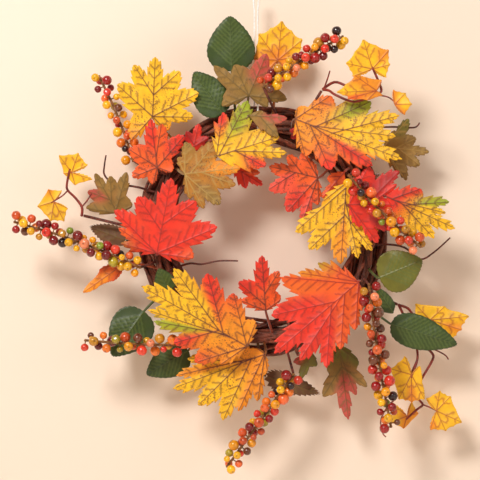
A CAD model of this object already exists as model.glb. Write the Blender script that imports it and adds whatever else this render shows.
"""Looks for the harvest door wreath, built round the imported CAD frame. Metres; +Z up; the front faces -Y."""

import math
import random

import bmesh
import bpy
import numpy as np
from mathutils import Matrix, Vector
from mathutils.geometry import delaunay_2d_cdt


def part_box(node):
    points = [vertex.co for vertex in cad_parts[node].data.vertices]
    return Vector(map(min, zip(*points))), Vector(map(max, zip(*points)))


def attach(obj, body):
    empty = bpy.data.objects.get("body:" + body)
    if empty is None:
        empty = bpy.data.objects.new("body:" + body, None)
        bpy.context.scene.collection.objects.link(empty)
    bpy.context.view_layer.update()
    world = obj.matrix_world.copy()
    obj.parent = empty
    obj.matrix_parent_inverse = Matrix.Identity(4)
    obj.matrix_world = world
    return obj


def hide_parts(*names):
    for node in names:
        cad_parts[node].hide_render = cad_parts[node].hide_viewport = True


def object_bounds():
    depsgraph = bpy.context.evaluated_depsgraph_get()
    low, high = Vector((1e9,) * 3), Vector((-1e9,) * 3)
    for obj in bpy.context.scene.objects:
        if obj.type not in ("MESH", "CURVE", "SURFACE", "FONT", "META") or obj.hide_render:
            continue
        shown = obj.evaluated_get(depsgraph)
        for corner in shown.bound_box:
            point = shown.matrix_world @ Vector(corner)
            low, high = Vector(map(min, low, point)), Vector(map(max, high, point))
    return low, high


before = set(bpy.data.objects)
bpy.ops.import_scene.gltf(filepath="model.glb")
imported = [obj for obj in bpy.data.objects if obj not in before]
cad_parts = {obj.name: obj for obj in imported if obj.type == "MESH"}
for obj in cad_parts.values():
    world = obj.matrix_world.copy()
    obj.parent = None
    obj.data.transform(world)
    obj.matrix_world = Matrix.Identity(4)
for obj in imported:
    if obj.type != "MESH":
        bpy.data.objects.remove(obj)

MM = 0.001
CAD_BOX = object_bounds()
rng = random.Random(7)

# ---- The ring, measured from the front cane -----------------------------------------------------------

cane_low, cane_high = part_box("front_cane")
CANE_R = (cane_high.y - cane_low.y) / 2
RING_R = (cane_high.x - cane_low.x) / 2 - CANE_R
CANE_DEPTH = -(cane_high.y + cane_low.y) / 2
RING = Vector(((cane_high.x + cane_low.x) / 2, 0, (cane_high.z + cane_low.z) / 2))


def ring_point(angle, out, depth):
    """A point by its angle round the ring, and its distances out from the canes' line and forward, in mm."""
    a = math.radians(angle)
    reach = RING_R + out * MM
    return RING + Vector((reach * math.cos(a), -depth * MM, reach * math.sin(a)))


# ---- Camera, straight on --------------------------------------------------------------------------------

VIEW_WIDTH = 0.576
VIEW_CENTRE = RING + Vector((-0.0276, -0.04, -0.0108))
CAMERA_DISTANCE = 2.4


def add_camera():
    data = bpy.data.cameras.new("camera")
    data.sensor_width = 36
    data.lens = 36 * CAMERA_DISTANCE / VIEW_WIDTH
    cam = bpy.data.objects.new("camera", data)
    bpy.context.scene.collection.objects.link(cam)
    cam.location = VIEW_CENTRE + Vector((0, -CAMERA_DISTANCE, 0))
    cam.rotation_euler = (math.radians(90), 0, 0)
    bpy.context.scene.camera = cam


# ---- Mesh helpers ---------------------------------------------------------------------------------------

def add_mesh(name, verts, faces, material, smooth=True):
    mesh = bpy.data.meshes.new(name)
    mesh.from_pydata([tuple(v) for v in verts], [], [tuple(int(i) for i in f) for f in faces])
    mesh.update()
    obj = bpy.data.objects.new(name, mesh)
    bpy.context.scene.collection.objects.link(obj)
    mesh.materials.append(material)
    if smooth:
        mesh.polygons.foreach_set("use_smooth", [True] * len(mesh.polygons))
    return obj


def paint(obj, name, values):
    """Stores a value for each vertex: a number, or a colour as three numbers."""
    values = np.asarray(values, np.float32)
    if values.ndim == 1:
        layer = obj.data.attributes.new(name, "FLOAT", "POINT")
        layer.data.foreach_set("value", values)
    else:
        layer = obj.data.attributes.new(name, "FLOAT_COLOR", "POINT")
        layer.data.foreach_set("color", np.c_[values, np.ones(len(values), np.float32)].ravel())


def srgb(text):
    """A colour such as f0aa14 as linear red, green and blue."""
    parts = [int(text[i : i + 2], 16) / 255 for i in (0, 2, 4)]
    return np.array([p / 12.92 if p <= 0.04045 else ((p + 0.055) / 1.055) ** 2.4 for p in parts])


class Build:
    """Collects tubes and balls that end up as one mesh."""

    def __init__(self):
        self.verts, self.faces, self.colors = [], [], []
        self.along = []

    def tube(self, points, radius, color, sides=8, ply=0, pitch=1.0, bump=0.12, wobble=0.0):
        """A closed tube through points, with one radius or one for each point. ply strands twist round it."""
        p = np.asarray(points, float)
        n = len(p)
        r = np.broadcast_to(np.asarray(radius, float), (n,))
        t = np.gradient(p, axis=0)
        t /= np.linalg.norm(t, axis=1)[:, None]
        s = np.cross(t[0], [0.3, 0.9, 0.2])
        run = np.r_[0, np.cumsum(np.linalg.norm(np.diff(p, axis=0), axis=1))]
        start = len(self.verts)
        phase = rng.uniform(0, 6.28)
        for i in range(n):
            s = s - (s @ t[i]) * t[i]
            s /= np.linalg.norm(s)
            q = np.cross(t[i], s)
            for k in range(sides):
                a = 2 * math.pi * k / sides
                swell = 1 - wobble * math.sin(3 * a + phase + run[i] * 90) * math.sin(run[i] * 400 + phase)
                if ply:
                    swell *= 1 - bump + bump * abs(math.cos(ply / 2 * (a - 2 * math.pi * run[i] / pitch)))
                self.verts.append(p[i] + r[i] * swell * (math.cos(a) * s + math.sin(a) * q))
                self.colors.append(color)
                self.along.append(run[i])
        for i in range(n - 1):
            for k in range(sides):
                m = (k + 1) % sides
                a, b = start + i * sides, start + (i + 1) * sides
                self.faces.append((a + k, b + k, b + m, a + m))
        self.faces.append([start + k for k in range(sides)])
        self.faces.append([start + (n - 1) * sides + k for k in reversed(range(sides))])

    def ball(self, middle, radius, color, outward, rings=9, sides=14, dimple=0.2):
        """A berry with a shallow dimple at the end that faces outward."""
        w = np.asarray(outward, float) / np.linalg.norm(outward)
        u = np.cross(w, [0.31, 0.7, 0.64])
        u /= np.linalg.norm(u)
        v = np.cross(w, u)
        start = len(self.verts)
        m = np.asarray(middle, float)
        tint = np.asarray(color, float)
        for i in range(rings + 1):
            a = math.pi * i / rings
            for k in range(sides):
                b = 2 * math.pi * k / sides
                r = radius * (1 - dimple * math.exp(-((a / 0.3) ** 2)))
                round_way = math.cos(b) * u + math.sin(b) * v
                self.verts.append(m + r * (math.cos(a) * w + math.sin(a) * round_way))
                self.colors.append(tint * (0.25 if i == 0 else 1))
                self.along.append(0)
        for i in range(rings):
            for k in range(sides):
                n = (k + 1) % sides
                a, b = start + i * sides, start + (i + 1) * sides
                self.faces.append((a + k, b + k, b + n, a + n))

    def finish(self, name, material, body, *nodes, weld=False):
        obj = add_mesh(name, self.verts, self.faces, material)
        paint(obj, "tint", np.array(self.colors))
        paint(obj, "along", self.along)
        if weld:
            bm = bmesh.new()
            bm.from_mesh(obj.data)
            bmesh.ops.remove_doubles(bm, verts=bm.verts, dist=1e-7)
            bm.to_mesh(obj.data)
            bm.free()
        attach(obj, body)
        if nodes:
            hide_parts(*nodes)
        return obj


def curve_point(a, b, c, d, t):
    """The point at t, from 0 to 1, between b and c on a curve through a, b, c and d."""
    return (2 * b + (c - a) * t + (2 * a - 5 * b + 4 * c - d) * t**2 + (3 * b - a - 3 * c + d) * t**3) / 2


def smooth_path(points, steps):
    """The same curve as the CAD's: through every point, with steps from one to the next."""
    p = [np.asarray(q, float) for q in points]
    last = len(p) - 1
    out = []
    for i in range(last):
        a, b, c, d = p[max(i - 1, 0)], p[i], p[i + 1], p[min(i + 2, last)]
        out += [curve_point(a, b, c, d, k / steps) for k in range(steps)]
    return np.array(out + [p[last]])


def solids_of(node):
    """The separate solids of a CAD node, each as a bmesh with its doubled vertices merged."""
    bm = bmesh.new()
    bm.from_mesh(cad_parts[node].data)
    bmesh.ops.remove_doubles(bm, verts=bm.verts, dist=2e-6)
    left, found = set(bm.verts), []
    while left:
        group, edge = set(), [left.pop()]
        while edge:
            v = edge.pop()
            group.add(v)
            for e in v.link_edges:
                o = e.other_vert(v)
                if o in left:
                    left.discard(o)
                    edge.append(o)
        found.append(group)
    found.sort(key=lambda g: min(tuple(round(x, 4) for x in v.co) for v in g))
    return bm, found


# ---- Materials ------------------------------------------------------------------------------------------

def new_material(name, roughness, **sockets):
    mat = bpy.data.materials.new(name)
    mat.use_nodes = True
    shader = mat.node_tree.nodes["Principled BSDF"]
    shader.inputs["Roughness"].default_value = roughness
    for key, value in sockets.items():
        shader.inputs[key.replace("_", " ")].default_value = value
    return mat, mat.node_tree.nodes, mat.node_tree.links, shader


def attribute(nodes, name):
    node = nodes.new("ShaderNodeAttribute")
    node.attribute_name = name
    return node


def noise(nodes, links, scale, detail=3.0, rough=0.6, stretch=(1, 1, 1)):
    where = nodes.new("ShaderNodeTexCoord")
    scaled = nodes.new("ShaderNodeMapping")
    scaled.inputs["Scale"].default_value = stretch
    links.new(where.outputs["Object"], scaled.inputs["Vector"])
    tex = nodes.new("ShaderNodeTexNoise")
    tex.inputs["Scale"].default_value = scale
    tex.inputs["Detail"].default_value = detail
    tex.inputs["Roughness"].default_value = rough
    links.new(scaled.outputs["Vector"], tex.inputs["Vector"])
    return tex.outputs["Fac"]


def ramp(nodes, links, value, *stops):
    node = nodes.new("ShaderNodeValToRGB")
    points = node.color_ramp.elements
    while len(points) < len(stops):
        points.new(0.5)
    for point, (at, level) in zip(points, stops):
        point.position = at
        point.color = (*((level,) * 3 if isinstance(level, (int, float)) else level), 1)
    links.new(value, node.inputs["Fac"])
    return node.outputs["Color"]


def mix(nodes, links, how, amount, a, b):
    node = nodes.new("ShaderNodeMix")
    node.data_type = "RGBA"
    node.blend_type = how
    for socket, value in (("Factor", amount), ("A", a), ("B", b)):
        kind = "VALUE" if socket == "Factor" else "RGBA"
        target = next(s for s in node.inputs if s.name == socket and s.type == kind)
        if hasattr(value, "is_linked"):
            links.new(value, target)
        elif socket == "Factor":
            target.default_value = value
        else:
            target.default_value = (*value, 1)
    return next(s for s in node.outputs if s.type == "RGBA")


def add_bump(nodes, links, shader, height, strength, distance):
    node = nodes.new("ShaderNodeBump")
    node.inputs["Strength"].default_value = strength
    node.inputs["Distance"].default_value = distance
    links.new(height, node.inputs["Height"])
    links.new(node.outputs["Normal"], shader.inputs["Normal"])


def leaf_material(name, vein_color, speckle_color, speckle=0.55, roughness=0.55):
    """Printed fabric: painted colour, soft blotches, dark speckles, veins and a fine weave."""
    mat, nodes, links, shader = new_material(name, roughness, Sheen_Weight=0.25)
    color = attribute(nodes, "tint").outputs["Color"]
    blotch = ramp(nodes, links, noise(nodes, links, 75, 4), (0.3, 0.72), (0.7, 1.18))
    color = mix(nodes, links, "MULTIPLY", 0.8, color, blotch)
    spots = ramp(nodes, links, noise(nodes, links, 520, 2, 0.7), (speckle, 0.0), (speckle + 0.07, 1.0))
    where = ramp(nodes, links, noise(nodes, links, 60, 2), (0.42, 0.0), (0.6, 0.85))
    spots = mix(nodes, links, "MULTIPLY", 1.0, spots, where)
    to_value = nodes.new("ShaderNodeRGBToBW")
    links.new(spots, to_value.inputs["Color"])
    color = mix(nodes, links, "MIX", to_value.outputs["Val"], color, srgb(speckle_color))
    color = mix(nodes, links, "MIX", attribute(nodes, "vein").outputs["Fac"], color, srgb(vein_color))
    links.new(color, shader.inputs["Base Color"])
    add_bump(nodes, links, shader, noise(nodes, links, 1500, 2), 0.35, 0.0004)
    return mat


def bark_material(name, dark, light, scale=160, roughness=0.62):
    mat, nodes, links, shader = new_material(name, roughness)
    tone = ramp(nodes, links, noise(nodes, links, scale, 5), (0.3, srgb(dark)), (0.62, srgb(light)))
    color = mix(nodes, links, "MULTIPLY", 1.0, tone, attribute(nodes, "tint").outputs["Color"])
    links.new(color, shader.inputs["Base Color"])
    add_bump(nodes, links, shader, noise(nodes, links, scale * 3, 6, 0.7), 0.7, 0.0009)
    return mat


def plain_material(name, dark, light, scale, roughness, bump=0.4):
    """For CAD nodes that stay: a two-tone finish with a grain."""
    mat, nodes, links, shader = new_material(name, roughness)
    links.new(ramp(nodes, links, noise(nodes, links, scale, 4), (0.35, srgb(dark)), (0.65, srgb(light))),
              shader.inputs["Base Color"])
    add_bump(nodes, links, shader, noise(nodes, links, scale * 3, 4), bump, 0.0005)
    return mat


def berry_material():
    mat, nodes, links, shader = new_material("berry_lacquer", 0.24, Coat_Weight=0.5, Coat_Roughness=0.12)
    shade = ramp(nodes, links, noise(nodes, links, 260, 3), (0.3, 0.72), (0.7, 1.15))
    links.new(mix(nodes, links, "MULTIPLY", 1.0, attribute(nodes, "tint").outputs["Color"], shade),
              shader.inputs["Base Color"])
    add_bump(nodes, links, shader, noise(nodes, links, 900, 3), 0.15, 0.0004)
    return mat


# ---- The hanging cord -----------------------------------------------------------------------------------

# The CAD's route, in millimetres from the middle of the ring and the cord's place to the left of its top
HOOK_R = 3.4
NOOSE_R = 26.82
HANG_DROP = -RING.z / MM
CORD_SIDE = -8
RING_TOP = math.sqrt(130**2 - CORD_SIDE**2)
CORD_ROUTE = (
    [(-2, 29, 127), (-2, 27, 144), (-2, 19, 156), (-2, 8, 170), (-2, 3, 190), (-2, 0, 215), (-2, 0, 240),
     (-2, 0, 265), (-3, 0, 280)]
    + [(HOOK_R * math.cos(math.radians(a)), 0, HANG_DROP - HOOK_R + HOOK_R * math.sin(math.radians(a)))
       for a in (150, 120, 90, 60, 30)]
    + [(3, 0, 280), (2, 0, 265), (2, 0, 240), (2, 0, 215), (2, 0, 190), (2, -3, 170)]
    + [(2, -NOOSE_R * math.cos(math.radians(a)), RING_TOP + NOOSE_R * math.sin(math.radians(a)))
       for a in range(70, -171, -20)]
)


def cord_material():
    mat, nodes, links, shader = new_material("cord_white", 0.7, Sheen_Weight=0.3)
    links.new(ramp(nodes, links, noise(nodes, links, 400, 4), (0.3, srgb("e8e4da")), (0.7, srgb("ffffff"))),
              shader.inputs["Base Color"])
    add_bump(nodes, links, shader, noise(nodes, links, 2500, 2), 0.5, 0.0003)
    return mat


def add_cord():
    white = cord_material()
    offset = np.array(RING) + np.array([CORD_SIDE * MM, 0, 0])
    path = smooth_path([offset + np.array(p) * MM for p in CORD_ROUTE], 12)
    strand = Build()
    strand.tube(path, 1.2 * MM, (1, 1, 1), sides=15, ply=3, pitch=7 * MM, bump=0.22)
    cord = strand.finish("cord", white, "cord", "hanging_cord")
    low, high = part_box("cord_knot")
    middle = np.array((low + high) / 2)
    loops = Build()
    turns = [middle + 2.5 * MM * np.array([math.sin(t) + 0.5 * math.sin(2 * t), 0.75 * math.sin(3 * t),
                                            math.cos(t) - 0.5 * math.cos(2 * t)])
             for t in np.linspace(0, 2 * math.pi, 90)]
    loops.tube(turns, 1.15 * MM, (1, 1, 1), sides=10, ply=3, pitch=6 * MM, bump=0.2)
    knot = loops.finish("knot", white, "cord", "cord_knot")


# ---- Canes ----------------------------------------------------------------------------------------------

STRANDS_EACH = 9


def add_canes():
    """Each hank of canes is a bundle of thin vines that wander round one another."""
    bark = bark_material("vine_bark", "2a100c", "8a4a34")
    for cane in ("front_cane", "back_cane", "outer_cane", "inner_cane"):
        low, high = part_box(cane)
        radius = (high.x - low.x) / 2 - CANE_R
        depth = -(high.y + low.y) / 2
        vines = Build()
        for n in range(STRANDS_EACH):
            phase, turns = rng.uniform(0, 360), rng.choice((-5, -4, -3, 3, 4, 5))
            thick = rng.uniform(1.5, 3.1) * MM
            reach = (CANE_R - thick) * (0.35 if n < 2 else rng.uniform(0.75, 1.0))
            wave = rng.uniform(0, 6.28)
            points = []
            for k in range(181):
                a = math.radians(2 * k)
                b = math.radians(phase) + turns * a + 0.35 * math.sin(3 * a + wave)
                r = reach * (1 + 0.06 * math.sin(7 * a + wave))
                out, fore = radius + r * math.cos(b), depth + r * math.sin(b)
                points.append(RING + Vector((out * math.cos(a), -fore, out * math.sin(a))))
            shade = rng.choice((0.55, 0.8, 1.0, 1.25, 1.5))
            vines.tube(points, thick, (shade, shade * 0.95, shade * 0.9), sides=8, wobble=0.08)
        vines.finish("vines_" + cane.split("_")[0], bark, "wreath", cane)
    return bark


def add_binding(bark):
    """The vine wound round the canes: each turn is a little uneven."""
    loops = Build()
    bm, solids = solids_of("binding_turns")
    for group in solids:
        co = np.array([v.co for v in group])
        middle = co.mean(0)
        out = middle - np.array(RING)
        out /= np.linalg.norm(out)
        reach = (co[:, 1].max() - co[:, 1].min()) / 2 - 2 * MM
        side = np.cross(out, [0, 1, 0])
        lean = rng.uniform(-0.05, 0.05)
        across = np.array([0, 1, 0]) + lean * side
        points = [middle + reach * (math.cos(a) * out + math.sin(a) * across)
                  for a in np.linspace(0, 2 * math.pi, 60)]
        loops.tube(points, 1.9 * MM, (1.3, 1.1, 1.0), sides=8, wobble=0.12)
    bm.free()
    loops.finish("binding_vine", bark, "wreath", "binding_turns")


# ---- Leaves ---------------------------------------------------------------------------------------------

Y, G, O, R, C, T, P, V, D = ("yellow", "golden", "orange", "red", "crimson", "tan", "pink", "olive", "green")
COLORS = {
    Y: "fcc00a", G: "f39208", O: "f05c10", R: "e62a0c", C: "b4140e", T: "94702c", P: "c04a3c", V: "6e6c18",
    D: "34480f", "lime": "9caa18", "ochre": "a86c10", "coral": "f0503a", "brown": "6a4420",
}
# node: [(angle and distance out of the hub, heading, kind, hub colour, colours of the lobes in order)]
LEAVES = {
    "yellow_maple_leaf_upper_left": [(134, 61, 87, "maple", Y, [O, Y, Y, Y, Y, Y, Y, G])],
    "orange_maple_leaf_upper_left": [(149, 18, 97, "maple", O, [O, R, O, R, O, O, O])],
    "ochre_maple_leaf_upper_left": [
        (144, -14, 6, "dry", "ochre", ["ochre", "ochre", T, "ochre", G, "ochre", T, T])],
    "red_maple_leaf_left": [(192, 0, 79, "plain", R, [O, R, R, R, R, R, O, "ochre"])],
    "red_yellow_maple_leaf_top": [(122, -25, 17, "maple", Y, [R, Y, Y, "lime", R])],
    "tan_oak_leaf_top": [(96, 33, 67, "oak", T, [T, T, P, T, T, T])],
    "tan_pink_oak_leaf_top": [(97, 8, -4, "oak", T, [T, P, T])],
    "green_leaf_top": [(101, 67, 92, "green", D, [])],
    "green_leaf_top_behind": [(109, 19, 124, "green", D, [])],
    "grape_leaf_top": [(85, 78, 84, "grape", G, [G, Y, Y, Y, Y, G, G])],
    "yellow_red_maple_leaf_right": [(74, 9, -21, "maple", G, [R, R, R, Y, Y, Y, "lime", R, R])],
    "orange_maple_leaf_inner": [(44, -38, 167, "maple", O, [O, O, O, O, "coral", R, "coral", O])],
    "yellow_maple_leaf_inner": [(30, -15, -94, "maple", Y, [G, Y, Y, G, Y, Y, Y, G])],
    "red_maple_leaf_right": [(17, -23, 0, "plain", R, [R, R, C, R, R, C, R])],
    "red_green_maple_leaf_right": [(16, 21, -25, "maple", R, [Y, Y, Y, "lime", R])],
    "tan_maple_leaf_right": [(35, 49, -7, "dry", T, [T, T, T, T, T, V, T])],
    "green_leaf_right": [(-22, 21, 23, "green", V, [])],
    "green_leaf_right_long": [(-36, 61, -17, "green", D, [])],
    "olive_oak_leaf_bottom": [(-56, 35, -83, "oak", V, [T, T, P, P, T, V])],
    "red_orange_maple_leaf_bottom": [(-28, -1, -140, "plain", O, ["lime", G, O, R, R, R, R, O, O, G])],
    "orange_maple_leaf_bottom": [(-88, -34, 94, "maple", O, [O, O, R, R, O])],
    "yellow_red_maple_leaf_bottom": [(-98, 9, 150, "maple", G, [O, R, R, Y, Y, Y, "lime", R, R, O])],
    "golden_maple_leaf_bottom": [(-89, 18, -160, "maple", G, [G, Y, G, Y, Y, Y, G, G, G])],
    "green_leaf_left": [(-146, 44, -125, "green", D, [])],
    "green_leaf_left_low": [(-122, 41, -150, "green", D, [])],
    "orange_leaf_left": [(193, 40, -145, "grape", O, [O, G, O])],
    "tan_oak_leaf_left": [(173, 47, 119, "oak", T, [T, T, T, T, P, T])],
    "small_red_leaves": [(132, -3, 77, "plain", R, [C, R, C]), (115, -44, -32, "plain", R, [R, R, O]),
                         (68, 0, -150, "plain", C, [C, C, C]), (36, -9, -130, "plain", O, [O, O, "brown"])],
    "small_brown_leaves": [(184, 36, 159, "oak", "brown", []), (-68, 27, -113, "oak", V, [P, V, V]),
                           (-89, 46, -18, "oak", "brown", [])],
    "small_green_leaves": [(-32, 54, 123, "green", D, []), (-147, 5, 113, "green", D, [])],
    "vine_leaves_top": [(56, 101, 108, "grape", Y, [Y, Y, G, Y, Y, Y]),
                        (51, 83, -177, "grape", G, [G, G, Y, O, G, G]), (44, 85, 0, "grape", G, [G, Y, Y, G])],
    "vine_leaves_left": [(163, 111, 126, "grape", Y, [Y, Y, Y, G, Y, Y]),
                         (172, 124, -164, "grape", Y, [Y, G, Y, Y, Y, Y])],
    "vine_leaves_right": [(-28, 100, 6, "grape", Y, [Y, G, Y, Y, Y, Y]),
                          (-44, 120, -90, "grape", Y, [Y, Y, Y, G, Y, Y]),
                          (-52, 155, -106, "grape", G, [Y, Y, G, G, Y]),
                          (-46, 173, -24, "grape", Y, [G, Y, Y, Y, Y, Y])],
}
SPRIGS = ("top", "left", "right")


def style(vein, speckle, speckle_from, roughness, teeth, tooth, vein_width, fill):
    """How a kind of leaf looks: colours, where its speckles start, its teeth a side and how high they are,
    its veins' width in mm, and how far the notches between its lobes are filled, from 0 to 1."""
    return dict(vein=vein, speckle=speckle, speckle_from=speckle_from, roughness=roughness, teeth=teeth,
                tooth=tooth, vein_width=vein_width, fill=fill)


STYLES = {
    "maple": style("5c2412", "6a2a16", 0.55, 0.55, teeth=3, tooth=0.13, vein_width=1.0, fill=0.1),
    "plain": style("9c1c0c", "8a1c10", 0.66, 0.5, teeth=3, tooth=0.13, vein_width=0.9, fill=0.1),
    "dry": style("b08c46", "4c3010", 0.55, 0.6, teeth=3, tooth=0.12, vein_width=0.9, fill=0.15),
    "oak": style("6e5420", "5a4620", 0.6, 0.6, teeth=2, tooth=0.07, vein_width=0.9, fill=0.2),
    "green": style("586a2a", "16200a", 0.74, 0.4, teeth=14, tooth=0.012, vein_width=0.45, fill=0),
    "grape": style("a8481a", "c8641a", 0.66, 0.5, teeth=6, tooth=0.06, vein_width=0.8, fill=0.9),
}
LOBE_FULLNESS = 1.1  # how far a lobe's sides bow out towards its shoulders: 2 would pass through them
STEM_BARE = 6.5  # mm round the hub where a stem may cut into the outline
HUB_SIZE = 1.0  # mm: nearer than this, an outline's point is the hub itself
CLOTH_THICK = 0.5  # mm
SUNK = 0.9  # mm: the cloth starts this far behind the CAD blade's front
VEIN_RISE = 0.7  # mm
WAVE_RISE = 0.7  # mm
LOBE_CURL = 3.2  # mm at the tip of a lobe
LOBE_FOLD = 0.05  # mm down for each mm away from a lobe's main vein
ROOT_REACH = 1.6  # mm from the middle of the front cane, where a stem's root is found
PETIOLE_STEPS = 14
POINT_STEP = 2.0  # mm between the points of a blade


def front_loop(group):
    """The outer edge of a blade's front face, in order, and the face's normal."""
    faces = {f for v in group for f in v.link_faces}
    main = max((f for f in faces if f.normal.y < -0.5), key=lambda f: f.calc_area())
    level = main.normal.dot(main.verts[0].co)
    front = {f for f in faces if f.normal.dot(main.normal) > 0.9999
             and abs(main.normal.dot(f.verts[0].co) - level) < 0.05 * MM}
    following = {}
    for f in front:
        for loop in f.loops:
            if sum(g in front for g in loop.edge.link_faces) == 1:
                following[loop.vert] = loop.link_loop_next.vert
    edges = []
    while following:
        at, chain = next(iter(following)), []
        while at in following:
            chain.append(np.array(at.co))
            at = following.pop(at)
        edges.append(chain)
    return max(edges, key=lambda chain: np.ptp(chain, axis=0).sum()), np.array(main.normal)


def inside(points, poly):
    x, y = points[:, :1], points[:, 1:]
    ax, ay = poly.T
    bx, by = np.roll(poly, -1, 0).T
    rise = np.where(by == ay, 1e-9, by - ay)
    crosses = ((ay > y) != (by > y)) & (x < (bx - ax) * (y - ay) / rise + ax)
    return crosses.sum(1) % 2 == 1


def rim_distance(points, poly):
    """How far each point is from the nearest edge of the outline."""
    a = poly[None]
    d = np.roll(poly, -1, 0)[None] - a
    nearest = []
    for some in np.array_split(points, max(1, len(points) // 500)):
        rel = some[:, None] - a
        t = np.clip((rel * d).sum(2) / np.maximum((d * d).sum(2), 1e-9), 0, 1)
        nearest.append(np.linalg.norm(rel - t[..., None] * d, axis=2).min(1))
    return np.concatenate(nearest)


def edge_distance(points, a, b):
    """Distance of points from the line from a to b, and how far along it each is, from 0 to 1."""
    d = b - a
    t = np.clip(((points - a) @ d) / max(d @ d, 1e-9), 0, 1)
    return np.linalg.norm(points - (a + t[:, None] * d), axis=1), t


def toothed(start, shoulder, tip, teeth, height):
    """One side of a lobe, from its notch past its shoulder to its tip, with teeth that lean to the tip."""
    length = np.linalg.norm(tip - start)
    count = max(4 if teeth < 5 else teeth * 2, int(length / POINT_STEP * 1.3))
    t = np.linspace(0, 1, count + 1)[:-1]
    halfway = (start + tip) / 2
    pull = halfway + LOBE_FULLNESS * (shoulder - halfway)
    line = np.outer((1 - t) ** 2, start) + np.outer(2 * t * (1 - t), pull) + np.outer(t**2, tip)
    way = (tip - start) / max(length, 1e-6)
    out = np.array([-way[1], way[0]])
    out = out if (shoulder - (start + tip) / 2) @ out >= 0 else -out
    if teeth:
        wave = ((t * teeth) % 1) * np.sin(np.pi * np.minimum(t * 1.15, 1)) ** 0.4
        line = line + np.outer(wave * height * length, out) + np.outer(wave * height * 0.8 * length, way)
    return line


def blade_outline(loop, teeth, height, lobed_leaf, fill):
    """The full edge of the blade, and the tips of its lobes."""
    if not lobed_leaf:
        tip_at = int(np.argmax(loop[:, 0]))
        fine = []
        n = len(loop)
        for i in range(n):
            a, b, c, d = (loop[(i + k) % n] for k in (-1, 0, 1, 2))
            fine += [curve_point(a, b, c, d, t) for t in (0, 0.2, 0.4, 0.6, 0.8)]
        fine = np.array(fine)
        toward_tip = np.clip(fine[:, 0] / fine[:, 0].max(), 0, 1)
        fine[:, 1] *= 1 - 0.5 * toward_tip**3
        middle = fine.mean(0)
        saw = 1 + height * (np.arange(len(fine)) % 3 - 1)
        return middle + (fine - middle) * saw[:, None], [loop[tip_at]]
    n = len(loop) // 4
    pieces, tips = [], []
    for i in range(n):
        valley, right, tip, left = (loop[(4 * i + k) % len(loop)] for k in (0, 1, 2, 3))
        beyond = loop[(4 * i + 4) % len(loop)]
        before, after = loop[4 * i - 2], loop[(4 * i + 6) % len(loop)]
        if i > 0:
            valley = valley + fill * ((before + tip) / 2 - valley)
        if i < n - 1:
            beyond = beyond + fill * ((after + tip) / 2 - beyond)
        pieces.append(toothed(valley, right, tip, teeth, height))
        pieces.append(toothed(beyond, left, tip, teeth, height)[::-1])
        tips.append(tip)
    return np.concatenate(pieces), tips


def vein_lines(tips, kind, outline):
    """Lines of (start, end, strength): main veins to each lobe, and the side veins that leave them."""
    lines = []
    mains = []
    for tip in tips:
        start = np.zeros(2)
        if kind not in ("grape", "green") and len(tips) > 1:
            start = np.array([max(0, min(tip[0] - abs(tip[1]), tip[0] / 2, abs(tip[1]))), 0.0])
        mains.append((start, np.asarray(tip)))
    lines += [(a, a + (b - a) * 0.95, 1.0) for a, b in mains]
    spacing = 6.0 if kind == "green" else 11.0
    for a, b in mains:
        length = np.linalg.norm(b - a)
        way = (b - a) / max(length, 1e-6)
        side = np.array([-way[1], way[0]])
        count = int(length / spacing)
        for k in range(1, count):
            foot = a + way * (k + 0.15) * spacing
            for sign in (-1, 1):
                aim = way * 0.72 + sign * side * 0.7
                steps = np.arange(1.0, 40)
                places = foot + steps[:, None] * aim
                own = edge_distance(places, a, b)[0]
                near = np.min([edge_distance(places, c, d)[0] for c, d in mains], axis=0)
                stops = ~inside(places, outline) | (near < own - 0.01)
                reach = steps[np.argmax(stops)] - 1.0 if stops.any() else 40.0
                if reach > 3:
                    lines.append((foot, foot + aim * reach * (0.9 if kind == "green" else 0.8), 0.7))
    return lines, mains


def blade_surface(outline, lines, width):
    """Points over the blade and the triangles between them, finer along the veins."""
    low, high = outline.min(0), outline.max(0)
    step = POINT_STEP
    xs, ys = np.arange(low[0], high[0], step), np.arange(low[1], high[1], step * 0.866)
    grid = np.array([(x + (j % 2) * step / 2, y) for j, y in enumerate(ys) for x in xs])
    near = np.full(len(grid), 1e9)
    for a, b, _ in lines:
        near = np.minimum(near, edge_distance(grid, a, b)[0])
    extra = []
    for a, b, strong in lines:
        length = np.linalg.norm(b - a)
        way = (b - a) / max(length, 1e-6)
        side = np.array([-way[1], way[0]])
        for s in np.arange(0.3, length, step * 0.8):
            for off in ((-1, 0, 1) if strong == 1 else (0,)):
                extra.append(a + way * s + side * off * width * (1.2 - 0.6 * s / length))
    grid = grid[near > step * 0.55]
    points = np.concatenate([grid, np.array(extra)])
    points = points[inside(points, outline)]
    points = points[rim_distance(points, outline) > step * 0.35]
    n = len(outline)
    every = [Vector(p) for p in np.concatenate([outline, points])]
    made = delaunay_2d_cdt(every, [(i, (i + 1) % n) for i in range(n)], [], 1, 0.05)
    return np.array([tuple(v) for v in made[0]]), made[2]


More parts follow.
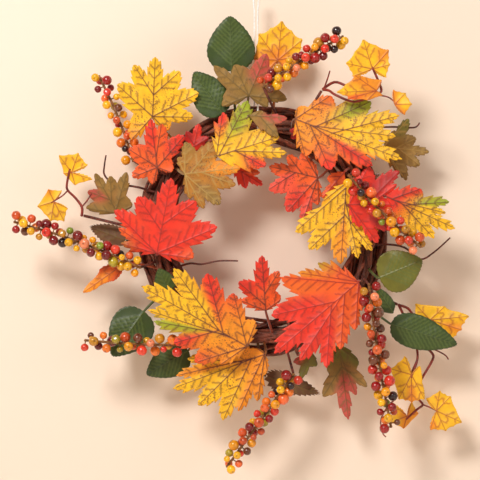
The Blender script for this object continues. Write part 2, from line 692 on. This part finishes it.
def paint_blade(points, mains, lines, hub, lobes, width):
    """Colour and vein strength at each point."""
    base = srgb(COLORS[hub])
    size = max(np.linalg.norm(b) for _, b in mains)
    color = np.tile(base, (len(points), 1))
    if lobes:
        weights, shades = [], []
        for (a, b), lobe in zip(mains, lobes):
            d, t = edge_distance(points, a, b)
            weights.append(1 / (d + 2.5) ** 3)
            shades.append(srgb(COLORS[lobe]))
        w = np.array(weights)
        w /= w.sum(0)
        lobe_color = w.T @ np.array(shades)
        reach = np.clip((np.linalg.norm(points, axis=1) / size - 0.18) / 0.3, 0, 1)[:, None]
        color = color * (1 - reach) + lobe_color * reach
    vein = np.zeros(len(points))
    for a, b, strong in lines:
        d, t = edge_distance(points, a, b)
        wide = width * (1.1 - 0.6 * t) * (1 if strong == 1 else 0.75)
        vein = np.maximum(vein, strong * np.clip(1.25 - d / wide, 0, 1))
    return color, vein


def read_blade(group, spec):
    """Where a blade lies, (hub, along, across, normal), and its outline in mm from the hub, hub first."""
    angle, out, heading, _kind, _hub_color, lobes = spec
    ring, normal = front_loop(group)
    h = math.radians(heading)
    along = np.array([math.cos(h), 0, math.sin(h)])
    along -= (along @ normal) * normal
    along /= np.linalg.norm(along)
    across = np.cross(normal, along)
    hub = np.array(ring_point(angle, out, 0))
    plane = np.mean([p @ normal for p in ring])
    hub[1] += (plane - hub @ normal) / normal[1]
    flat = np.array([((p - hub) @ along, (p - hub) @ across) for p in ring]) / MM
    area = np.sum(flat[:, 0] * np.roll(flat[:, 1], -1) - np.roll(flat[:, 0], -1) * flat[:, 1])
    if area < 0:
        flat = flat[::-1]
    uncut = len(flat) == 4 * len(lobes)
    far = np.linalg.norm(flat, axis=1) > (HUB_SIZE if uncut else STEM_BARE)
    first = next((i for i in range(len(flat)) if far[i] and not far[i - 1]), 0)
    flat = np.roll(flat, -first, axis=0)
    far = np.roll(far, -first)
    return (hub, along, across, normal), np.concatenate([[[0.0, 0.0]], flat[far]])


def blade_relief(points, mains, vein, size, angle, heading):
    """Height of each point, in mm: raised veins, lobes that curl on their own, and a gentle wave."""
    shape = random.Random(int(angle * 7 + heading))
    curl = [shape.uniform(-0.4, 1.0) for _ in mains]
    pull = np.zeros(len(points))
    weight = np.zeros(len(points))
    for (start, end), bend in zip(mains, curl):
        away, t = edge_distance(points, start, end)
        near = 1 / (away + 3) ** 2
        pull += near * (bend * LOBE_CURL * t**2 - LOBE_FOLD * away)
        weight += near
    wave = np.array([math.sin(x * 0.16 + angle) * math.cos(y * 0.19 + heading) for x, y in points])
    outer = np.clip(np.linalg.norm(points, axis=1) / size * 1.5, 0, 1)
    return VEIN_RISE * vein + pull / weight + WAVE_RISE * wave * outer


def add_petiole(cloth, group, place, color):
    """The leaf's stem, from behind its hub to its root in the front cane."""
    hub, along, _across, normal = place
    co = np.array([p.co for p in group])
    rel = co - np.array(RING)
    miss = np.hypot(np.hypot(rel[:, 0], rel[:, 2]) - RING_R, -rel[:, 1] - CANE_DEPTH)
    root = co[miss < ROOT_REACH * MM].mean(0)
    begin = hub - normal * MM
    bend = begin - along * 4 * MM - normal * 5 * MM
    t = np.linspace(0, 1, PETIOLE_STEPS)[:, None]
    stem = begin * (1 - t) ** 2 + 2 * bend * t * (1 - t) + root * t**2
    first = len(cloth.verts)
    cloth.tube(stem, np.linspace(0.9, 1.3, PETIOLE_STEPS) * MM, color * 0.5, sides=7)
    for i in range(first, len(cloth.verts)):
        cloth.along[i] = 0.5


def add_leaf(cloths, group, spec, stemmed):
    angle, _out, heading, kind, hub_color, lobes = spec
    look = STYLES[kind]
    place, loop = read_blade(group, spec)
    hub, along, across, normal = place
    outline, tips = blade_outline(loop, look["teeth"], look["tooth"], len(lobes) > 0, look["fill"])
    lines, mains = vein_lines(tips, kind, outline)
    points, faces = blade_surface(outline, lines, look["vein_width"])
    color, vein = paint_blade(points, mains, lines, hub_color, lobes, look["vein_width"])
    size = max(np.linalg.norm(tip) for tip in tips)
    rise = blade_relief(points, mains, vein, size, angle, heading)
    cloth = cloths.setdefault(kind, Build())
    first = len(cloth.verts)
    cloth.verts += [hub + (x * along + y * across + (z - SUNK) * normal) * MM
                    for (x, y), z in zip(points, rise)]
    cloth.colors += list(color)
    cloth.along += list(vein)
    cloth.faces += [tuple(first + i for i in f) for f in faces]
    if stemmed:
        add_petiole(cloth, group, place, srgb(COLORS[hub_color]))


def nearest_solid(solids, spec):
    """The solid of a CAD leaf node that holds this leaf's hub."""
    hub = ring_point(spec[0], spec[1], 0)
    return min(solids, key=lambda group: min(math.hypot(v.co.x - hub.x, v.co.z - hub.z) for v in group))


def add_leaves():
    materials = {kind: leaf_material("leaf_" + kind, look["vein"], look["speckle"], look["speckle_from"],
                                     look["roughness"]) for kind, look in STYLES.items()}
    for node, specs in LEAVES.items():
        bm, solids = solids_of(node)
        body = node.replace("vine_leaves", "sprig") if node.startswith("vine_leaves") else "wreath"
        cloths = {}
        for spec in specs:
            add_leaf(cloths, nearest_solid(solids, spec), spec, body == "wreath")
        bm.free()
        for kind, cloth in cloths.items():
            suffix = "" if len(cloths) == 1 else "_" + kind
            obj = add_mesh(node + "_cloth" + suffix, cloth.verts, cloth.faces, materials[kind])
            paint(obj, "tint", np.array(cloth.colors))
            paint(obj, "vein", cloth.along)
            thick = obj.modifiers.new("thickness", "SOLIDIFY")
            thick.thickness = CLOTH_THICK * MM
            thick.offset = -1
            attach(obj, body)
            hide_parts(node)


# ---- Berries --------------------------------------------------------------------------------------------

# Each colour and how many of the berries have it
BERRY_COLORS = {
    "e2412a": 4, "d8301e": 4, "9c1414": 5, "7a0f12": 4, "f7b50c": 7, "f5a00e": 5, "f07a1c": 4, "ee6a30": 4,
    "c98a1e": 4, "a8941e": 2, "8a9a28": 1.5, "6e3a22": 3, "2a1010": 2, "a07a86": 0.8, "f28a5e": 2, "d4521e": 3,
}
BERRY_SIZES = (0.95, 1.05, 1.15, 1.22, 1.3)  # of the CAD's berry
FILLER_TURNS = (-130, 130, 180)  # degrees round the wire from a berry to where a small one may fill a gap
FILLER_ROOM = 0.84  # how much of two berries' radii has to stay between their middles


def berry_color(pick):
    return srgb(pick.choices(list(BERRY_COLORS), list(BERRY_COLORS.values()))[0])


SPRAYS = ("upper_left", "top", "right", "lower_right", "bottom", "lower_left", "left")


def add_berries():
    lacquer = berry_material()
    for spray in SPRAYS:
        node = "berries_" + spray
        pick = random.Random(spray)
        stem = np.array([v.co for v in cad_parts["berry_stem_" + spray].data.vertices])
        bm, solids = solids_of(node)
        balls, placed, fillers = Build(), [], []
        for group in solids:
            co = np.array([v.co for v in group])
            middle = (co.min(0) + co.max(0)) / 2
            radius = (co.max(0) - co.min(0)).mean() / 2
            near = stem[np.argsort(np.linalg.norm(stem - middle, axis=1))[:12]].mean(0)
            color = berry_color(pick) * pick.uniform(0.85, 1.15)
            size = radius * pick.choice(BERRY_SIZES)
            balls.ball(middle, size, color, middle - near)
            placed.append((middle, size))
            if spray != "lower_right" or pick.random() < 0.5:
                fillers.append((near, middle - near, radius))
        for near, arm, radius in fillers:
            along = np.cross(arm, [0.2, 1, 0.1])
            along /= np.linalg.norm(along)
            for turn in FILLER_TURNS:
                spin = Matrix.Rotation(math.radians(turn), 3, Vector(along))
                place = near + np.array(spin @ Vector(arm))
                size = radius * pick.uniform(0.62, 0.85)
                if all(np.linalg.norm(place - m) > FILLER_ROOM * (r + size) for m, r in placed):
                    balls.ball(place, size, berry_color(pick), place - near)
                    placed.append((place, size))
        bm.free()
        obj = balls.finish(node + "_lacquered", lacquer, "spray_" + spray, node, weld=True)


# ---- CAD nodes that stay ------------------------------------------------------------------------------

def dress_node(node, material):
    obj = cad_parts[node]
    obj.data.materials.clear()
    obj.data.materials.append(material)
    weld = obj.modifiers.new("weld", "WELD")
    weld.merge_threshold = 1e-5
    obj.data.polygons.foreach_set("use_smooth", [True] * len(obj.data.polygons))


def dress_stems():
    wire = plain_material("stem_paper", "5a3a1c", "a06a34", 300, 0.7)
    vine = plain_material("vine_coating", "5a1410", "9a3220", 220, 0.45)
    twig = plain_material("twig_bark", "35120e", "7a3826", 240, 0.6)
    for spray in SPRAYS:
        dress_node("berry_stem_" + spray, wire)
    for sprig in SPRIGS:
        dress_node("vine_stem_" + sprig, vine)
    dress_node("loose_twigs", twig)
    dress_node("stem_ends", twig)


# ---- Stage and light --------------------------------------------------------------------------------------

def add_stage():
    mat, nodes, links, shader = new_material("wall_paint", 0.9)
    shader.inputs["Base Color"].default_value = (*srgb("f6e4d2"), 1)
    side = nodes.new("ShaderNodeNewGeometry")
    clear = nodes.new("ShaderNodeBsdfTransparent")
    choose = nodes.new("ShaderNodeMixShader")
    links.new(side.outputs["Backfacing"], choose.inputs["Fac"])
    links.new(shader.outputs["BSDF"], choose.inputs[1])
    links.new(clear.outputs["BSDF"], choose.inputs[2])
    links.new(choose.outputs["Shader"], nodes["Material Output"].inputs["Surface"])
    y = CAD_BOX[1][1] + 0.004
    w = 1.6
    corners = [(-w, y, -w), (w, y, -w), (w, y, w), (-w, y, w)]
    wall = add_mesh("wall", corners, [(0, 1, 2, 3)], mat, smooth=False)
    wall.visible_shadow = False
    floor_mat, _, _, floor_shader = new_material("floor_paint", 0.8)
    floor_shader.inputs["Base Color"].default_value = (*srgb("efe3d6"), 1)
    z = CAD_BOX[0][2] - 0.25
    floor = add_mesh("floor", [(-4, -4, z), (4, -4, z), (4, 4, z), (-4, 4, z)], [(0, 1, 2, 3)], floor_mat,
                     smooth=False)


def add_light(name, place, aim, size, watts, color):
    data = bpy.data.lights.new(name, "AREA")
    data.shape = "DISK"
    data.size = size
    data.energy = watts
    data.color = color
    obj = bpy.data.objects.new(name, data)
    bpy.context.scene.collection.objects.link(obj)
    obj.location = place
    obj.rotation_euler = (Vector(aim) - Vector(place)).to_track_quat("-Z", "Y").to_euler()


def add_lights():
    aim = RING
    add_light("key", RING + Vector((-0.75, -1.7, 1.1)), aim, 0.6, 36, (1, 0.96, 0.92))
    add_light("fill", RING + Vector((1.4, -1.6, 0.3)), aim, 1.2, 5, (1, 0.93, 0.88))
    add_light("back", RING + Vector((0.3, 1.9, 0.9)), aim, 1.2, 14, (1, 0.97, 0.94))
    world = bpy.data.worlds.new("world")
    world.use_nodes = True
    world.node_tree.nodes["Background"].inputs["Color"].default_value = (1, 0.95, 0.9, 1)
    world.node_tree.nodes["Background"].inputs["Strength"].default_value = 0.3
    bpy.context.scene.world = world
    bpy.context.scene.view_settings.view_transform = "Standard"


add_camera()
add_cord()
bark = add_canes()
add_binding(bark)
add_leaves()
add_berries()
dress_stems()
add_stage()
add_lights()
